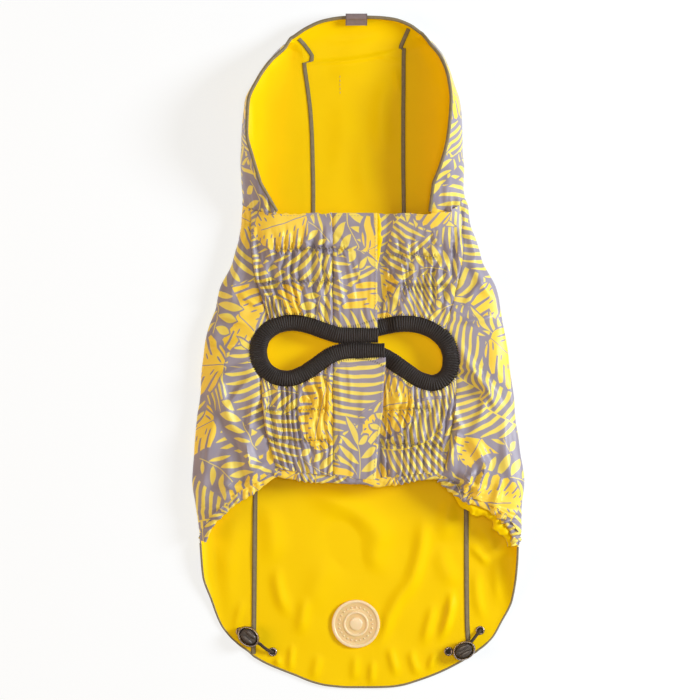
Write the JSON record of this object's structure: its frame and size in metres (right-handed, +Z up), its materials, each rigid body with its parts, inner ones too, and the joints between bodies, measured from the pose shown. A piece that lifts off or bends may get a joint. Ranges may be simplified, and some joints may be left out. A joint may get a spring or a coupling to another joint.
{
  "type": "dog raincoat",
  "caption": "Hooded dog raincoat laid flat, belly side up: printed shell, gathered chest and belly, elastic leg openings, open hood and a drawcord hem at the tail.",
  "frame": {"origin": "centre of the coat's outline, on the surface that it lies on", "axes": "+Y from the tail towards the hood, +X across the coat, +Z up away from the surface, towards the belly side"},
  "size_m": [0.2517, 0.5123, 0.0371],
  "materials": {
    "shell_print": "coated polyester, printed with leaves, soft sheen",
    "shell_inside": "coated polyester, plain bright yellow inside face",
    "grey_tape": "woven tape with a faint reflective sheen",
    "black_elastic": "ribbed elastic, matt",
    "badge_rubber": "soft moulded rubber, satin",
    "dark_metal": "gunmetal, polished",
    "black_plastic": "glossy",
    "black_cord": "round elastic cord"
  },
  "bodies": {
    "root": {"back_panel": "shell_inside", "side_panel_left": "shell_print", "side_panel_right": "shell_print", "chest_left": "shell_print", "chest_right": "shell_print", "placket_chest": "shell_print", "belly_left": "shell_print", "belly_right": "shell_print", "placket_belly": "shell_print", "belly_hem": "shell_print", "side_hem_left": "shell_print", "side_hem_right": "shell_print", "leg_binding_left": "black_elastic", "leg_binding_right": "black_elastic", "hood_centre": "shell_inside", "hood_side_left": "shell_print", "hood_side_right": "shell_print", "hood_rim": "grey_tape", "hood_tab": "grey_tape", "hood_tape_left": "grey_tape", "hood_tape_right": "grey_tape", "back_tape_left": "grey_tape", "back_tape_right": "grey_tape", "tail_piping": "grey_tape", "badge": "badge_rubber", "cord_lock_left": "dark_metal", "cord_lock_right": "dark_metal", "cord_lock_left_button": "black_plastic", "cord_lock_right_button": "black_plastic", "drawcord_left": "black_cord", "drawcord_right": "black_cord", "eyelet_left_inner": "dark_metal", "eyelet_left_outer": "dark_metal", "eyelet_right_inner": "dark_metal", "eyelet_right_outer": "dark_metal"}
  },
  "joints": []
}
